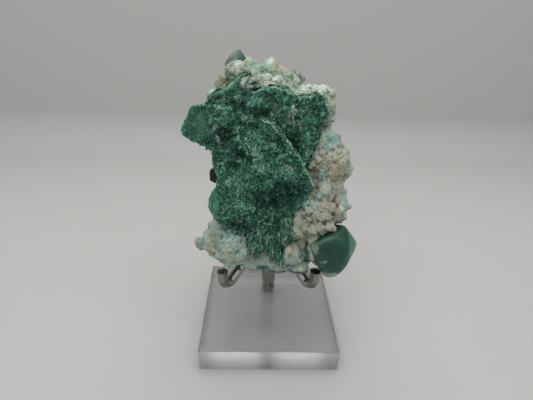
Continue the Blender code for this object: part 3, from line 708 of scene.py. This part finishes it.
# Matrix: chrysocolla and silica grown over broken rock as domes and crusts, matt and chalky,
# cream to mint, turquoise in the hollows and stained olive and tan in places.
# Patches of the crust, as spots() reads them
GRANULAR = [
    (21.3, 42, 7, 7.5), (15.5, 26, 6.6, 6.4), (-13.5, 10.4, 8, 6.4), (18.5, 61, 3.4, 6),
    (9.8, 20, 2.3, 6), (12, 66.5, 8, 1.6), (4.3, 70.3, 5, 3), (9.8, 26.5, 3, 3.4), (-1, 70, 5, 2),
    (-12, 71, 7, 5),
]
SMOOTH = [
    (24, 25.5, 3, 7), (7.4, 6.6, 3.2, 4.4), (20.5, 19.4, 2.4, 1.8), (-26, 10, 2, 2), (-2, 75, 3, 3),
]
AQUA = [
    (27.4, 29, 1.2, 7), (20, 51.5, 4.4, 3.4, -50), (22.5, 60, 1.6, 6), (-20, 6, 3, 2),
    (-1.5, 2, 12, 1.2), (-19.8, 18.1, 3, 1.6), (-12, 4.5, 5, 1.6), (12, 67.5, 9, 1.2), (-6, 75, 2.4, 2),
    (-20.5, 66.5, 2, 3, 30), (18, 38, 2, 4), (13.4, 27.6, 3.4, 2.4, 30), (-14.5, 14.5, 4.5, 2.6),
    (-24.4, 13.4, 1.6, 1.6), (-2.4, 74.6, 2.4, 2.4),
]
TURQUOISE = [
    (-13.7, 15.6, 3.0, 1.6), (12.1, 28.6, 1.8, 0.8, 30), (20.9, 30.4, 1.2, 0.6), (11, 7.5, 0.8, 4),
    (-10, 9, 2, 2), (19.4, 46.4, 1.2, 1.2), (26.9, 40.8, 1.2, 1.2), (16.6, 31.2, 1.6, 1.6),
    (-3.5, 75, 1.6, 0.8, -30), (14.6, 68.6, 5, 0.5), (-26, 12.6, 1.2, 0.6),
]
TAN = [
    (2.2, 75.6, 3.0, 2.0), (1.4, 68.4, 2.2, 0.8), (-21, 8, 2.4, 2), (23.6, 26.6, 2.6, 2.6),
    (8.4, 13.5, 1.2, 2.4), (21.6, 41, 4, 3), (-9.8, 73.5, 3, 2), (-18.5, 69, 2.6, 2, 40),
    (24.6, 38, 2.4, 2.4), (-16.6, 20.4, 1.2, 0.8),
]
CREAM = [(21, 42, 7, 8), (17, 26, 9, 8), (23, 20, 4, 4), (1.5, 74.5, 4, 3), (9, 11, 2.4, 7)]
MINT = [(-9.5, 74.5, 4.5, 5), (0, 74.5, 6, 4.5), (11, 69, 9, 3.6), (3, 70, 8, 2.4)]
OLIVE = [(-20, 14.3, 2.8, 3.8), (-18.6, 68.6, 3, 2.2, 40), (11.2, 37, 1.4, 3), (-14.5, 70.5, 2, 2)]
GREY = [
    (-26.2, 10, 2, 2.4), (-19.8, 18.1, 2.6, 1.4), (25.3, 22, 2.2, 2.2), (17, 57, 2, 2),
    (24.5, 57.5, 2.5, 2), (22.2, 50, 3, 2), (-6.2, 5.6, 4, 2.2), (3, 3, 6, 1.5), (7.2, 6.7, 3.4, 3.2),
]
# Painted shade: dark patches in shadowed gaps and along the bottom of the crust
DEEP_SHADE = [
    (13.4, 9, 0.9, 4), (5, 1, 10, 1.6), (-3, 3.2, 3, 1.4), (-5.8, 67.2, 0.9, 1.6), (13, 43.5, 0.7, 4),
    (-16, 19.6, 3, 0.7), (12.6, 23.4, 1.4, 0.6),
]
WHITE = [
    (-9, 68.2, 2.2, 1.8), (14, 67.6, 7, 2), (2, 69.6, 6, 1.8), (-11.5, 74.5, 2.0, 1.2),
    (-1.2, 76, 1.6, 1), (23.5, 61, 2.2, 4.5), (25.5, 27, 1, 2.4),
]


def stains_and_shade(places):
    """Marks for the crust at places on the stone: stain colours, with painted shade in dark patches and
    behind the top ledge.
    """
    wander = [0.9 * noise_at(places, 2.4, s) + 0.5 * noise_at(places, 0.9, s + 2) for s in (31.0, 37.0, 41.0)]
    drift = places + np.stack(wander, axis=1)
    lists = {
        "cream": CREAM, "mint": MINT, "aqua": AQUA, "turquoise": TURQUOISE, "tan": TAN,
        "olive": OLIVE, "grey": GREY, "deep_shade": DEEP_SHADE, "white": WHITE,
    }
    marks = {key: spots(drift, patches) for key, patches in lists.items()}
    # Painted shade: the crust deep behind the top ledge is darkened and greyed
    ledge_shade = (drift[:, 0] > 6) * np.clip(drift[:, 1] - 9.5, 0, 1) * np.clip(drift[:, 2] - 64, 0, 1)
    marks["deep_shade"] = np.maximum(marks["deep_shade"], 0.4 * ledge_shade)
    marks["grey"] = np.maximum(marks["grey"], ledge_shade)
    return marks


# Domes that show one by one in the photograph: (x, up) on the stone and radius, in mm
DOMES = [
    (18.6, 32.8, 2.6), (16.9, 30.6, 1.3), (14.6, 31.4, 1.2), (20.8, 30.2, 1.6), (15.0, 28.0, 2.1),
    (18.2, 27.7, 1.9), (21.2, 26.6, 2.1), (13.1, 25.8, 1.8), (15.7, 24.7, 2.1), (18.2, 24.0, 2.1),
    (11.0, 24.7, 1.5), (10.2, 21.7, 1.4), (24.4, 28.4, 2.2), (24.6, 25.0, 2.5), (24.6, 22.1, 2.2),
    (26.6, 22.5, 1.8), (12.0, 19.5, 2.1), (14.6, 18.8, 2.1), (17.2, 19.5, 2.4), (20.8, 19.5, 1.8),
    (22.6, 18.4, 1.5), (8.4, 21.8, 1.4), (8.6, 19.5, 1.5), (8.4, 16.4, 1.5), (6.6, 10.6, 2.3),
    (5.8, 7.0, 2.4), (8.2, 7.0, 2.2), (-12.2, 74.2, 2.2), (-8.4, 75.6, 2.0), (-9.8, 72.0, 1.6),
    (-1.2, 74.6, 3.0), (2.6, 73.4, 2.2), (5.0, 71.6, 2.0), (1.6, 70.0, 1.6), (7.6, 69.8, 1.8),
    (-4.6, 70.2, 1.8),
]
DOME_SUNK = 0.3
# Lumps too many to place one by one: how many, and their smallest and largest radius in mm
LUMPS, LUMP_RADIUS = 420, (0.7, 1.5)
CRUST_GRAIN = 0.4
# Rock behind the corner crystal, which it grows out of: (x, depth, up) and radius, in mm
BEHIND_CORNER = [(16.5, 4, 14, 3.4), (15.8, 4, 8.5, 3.6), (17.5, 5, 17.5, 3), (19, 6, 5, 3)]
bm = bmesh.new()
bm.from_mesh(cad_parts["matrix_rock"].data)
rock = BVHTree.FromBMesh(bm)
inwards = Vector(STONE_AXES[1])
balls = []
for x, up, radius in DOMES:
    start = Vector((np.array((x, -30, up)) @ STONE_AXES + STONE_FOOT) * MM)
    face, *_ = rock.ray_cast(start, inwards)
    if face:
        balls.append((face + inwards * radius * DOME_SUNK * MM, radius))
for x, depth, up, radius in BEHIND_CORNER:
    balls.append((Vector((np.array((x, depth, up)) @ STONE_AXES + STONE_FOOT) * MM), radius))


def crust_chance(places, normals):
    """Lumps crowd where the crust is granular."""
    return 0.12 + spots(places, GRANULAR) * (1 - spots(places, SMOOTH))


places, normals = scattered(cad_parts["matrix_rock"].data, LUMPS, crust_chance, dice)
for place, radius in zip(places, dice.uniform(*LUMP_RADIUS, len(places))):
    balls.append((Vector(place), radius))
bm.free()
mesh = fine_copy("matrix_rock", CRUST_GRAIN, balls)
places = in_stone(corners_of(mesh))
grainy = np.clip(0.45 + spots(places, GRANULAR) - 0.5 * spots(places, SMOOTH), 0.08, 1)
wobble = 0.5 * np.stack([noise_at(places, 2, s) for s in (1.0, 2.0, 3.0)], axis=1)
wide, _ = cells_at(places + wobble, 2.5, 2.0)
fine, _ = cells_at(places, 1.1, 8.0)
height = 0.5 * (0.4 - wide) + grainy * 0.4 * (0.42 - fine) + 0.25 * noise_at(places, 5.0, 9.0)
raise_surface(mesh, height + 0.16 * noise_at(places, 0.8, 3.0) - 0.1)
# Painted shade: hollows and crevices are darkened by how far they sink, dark teal in general and brownish in
# the cream crust
hollow = np.clip(-swelling(mesh, 4) / 0.14, -1, 1.6)
marks = stains_and_shade(places)
# Painted shade: faces turned downwards are darkened
underside_shade = np.clip((-normals_of(mesh)[:, 2] - 0.15) / 0.4, 0, 1)
marks["deep_shade"] = np.maximum(marks["deep_shade"], 0.75 * underside_shade)
marks["turquoise"] *= np.clip(0.5 + 1.0 * hollow, 0, 1.5)
marks["aqua"] *= np.clip(0.75 + 0.5 * hollow, 0, 1.3)
hollow *= 1 - 0.5 * marks["mint"]
warm = np.clip(1.4 * marks["cream"], 0, 1)
store(mesh, hollow=hollow * (1 - 0.8 * warm), crevice=hollow * warm, **marks)
mesh.shade_smooth()
# Chalky crust of chrysocolla and silica: cream and mint, stained, with painted shade in its hollows and
# crevices, in dark patches, on faces turned down and behind the top ledge
crust, tree, shader = finish("chalky chrysocolla crust", 0.8)
coords = node(tree, "ShaderNodeTexCoord").outputs["Object"]
cloud = node(tree, "ShaderNodeTexNoise", {"Vector": coords, "Scale": 350.0, "Detail": 6.0, "Roughness": 0.65})
fleck = node(tree, "ShaderNodeTexNoise", {"Vector": coords, "Scale": 1100.0, "Detail": 3.0, "Roughness": 0.7})
noisy = node(tree, "ShaderNodeMath", {0: fleck.outputs["Fac"], 1: 0.5}, operation="SUBTRACT").outputs[0]
noisy = node(tree, "ShaderNodeMath", {0: noisy, 1: 0.9}, operation="MULTIPLY").outputs[0]
colour = ramp(tree, cloud.outputs["Fac"], [(0.35, "#92a898"), (0.5, "#b0bba8"), (0.65, "#c8c7b4")])
for key, code, low, high in (
    ("cream", "#beb9a4", 0.0, 1.4),
    ("mint", "#c0d0b9", 0.1, 1.1),
    ("tan", "#b5a78b", 0.2, 1.4),
    ("olive", "#8f9775", 0.2, 1.3),
    ("grey", "#82938d", 0.2, 1.2),
    ("aqua", "#acd2cb", 0.1, 1.2),
    ("white", "#dbe3d8", 0.2, 1.0),
    ("turquoise", "#5fb3b8", 0.3, 1.4),
    ("deep_shade", "#3f6660", 0.2, 0.9),
    ("hollow", "#3c6058", 0.2, 1.5),
    ("crevice", "#5e5c48", 0.15, 1.4),
):
    mark = node(tree, "ShaderNodeAttribute", attribute_name=key).outputs["Fac"]
    mark = node(tree, "ShaderNodeMath", {0: mark, 1: noisy}, operation="ADD").outputs[0]
    share = node(tree, "ShaderNodeMapRange", {"Value": mark, "From Min": low, "From Max": high})
    mixed = node(tree, "ShaderNodeMix", {0: share.outputs["Result"], 6: colour}, data_type="RGBA")
    mixed.inputs[7].default_value = linear(code)
    colour = mixed.outputs[2]
tree.links.new(colour, shader.inputs["Base Color"])
bump = node(tree, "ShaderNodeBump", {"Height": fleck.outputs["Fac"], "Strength": 0.5, "Distance": 0.0002})
tree.links.new(bump.outputs["Normal"], shader.inputs["Normal"])
crusted = piece("matrix_crust", mesh, crust)
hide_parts("matrix_rock")

# Beads: small balls of the same crust, about 0.5 to 2 mm across, grown over its granular parts,
# some of them turquoise, and one larger turquoise ball that sits alone right of the plates.
BEADS = 5000
SPECKLED = [(-13.5, 11, 7, 7)]
LONE_BALL, LONE_RADIUS = (16.4, 30.9), 1.25
ball = bmesh.new()
bmesh.ops.create_uvsphere(ball, u_segments=6, v_segments=4, radius=1)
bmesh.ops.triangulate(ball, faces=ball.faces)
ball.verts.index_update()


def bead_chance(places, normals):
    """Beads grow where the crust is granular, and few elsewhere."""
    return (0.05 + spots(places, GRANULAR) * (1 - 0.9 * spots(places, SMOOTH))) * (1 - spots(places, FAN))


places, normals = scattered(mesh, BEADS, bead_chance, dice)
where = in_stone(places)
radius = 0.28 + 0.55 * dice.beta(1.1, 2.2, len(places)) * np.where(where[:, 0] > 11, 1.4, 0.8)
sunk = places - normals * (radius * 0.3 * MM)[:, None]
marks = stains_and_shade(where)
# Beads take the crust's painted hollow and crevice shade at random strengths; some in the speckled patch are
# darkened strongly
marks["hollow"] = dice.uniform(-0.5, 0.4, len(places))
marks["crevice"] = dice.uniform(-0.5, 0.3, len(places))
marks["turquoise"] *= dice.uniform(0, 1.2, len(places))
marks["aqua"] *= dice.uniform(0.3, 1.1, len(places))
speckled = 0.035 + 0.22 * spots(where, SPECKLED)
marks["turquoise"] += dice.uniform(0.4, 1, len(places)) * (dice.random(len(places)) < speckled)
marks["hollow"] += 0.9 * (dice.random(len(places)) < 0.5 * speckled)
behind = where[:, 1] > 4
lone = np.argmin(np.linalg.norm(where[:, (0, 2)] - LONE_BALL, axis=1) + 9 * behind)
radius[lone], marks["turquoise"][lone], marks["hollow"][lone] = LONE_RADIUS, 1.0, 0.6
axes = standing(normals, 0.3, dice)
sizes = np.stack((radius, radius, radius), axis=1)
# Painted shade: each bead is darker at its foot, where it meets the crust
beads = joined_copies("beads", ball, sunk, axes, sizes, marks, {"hollow": -0.9, "crevice": -0.9})
ball.free()
beads.shade_smooth()
matrix_beads = piece("matrix_beads", beads, crust)
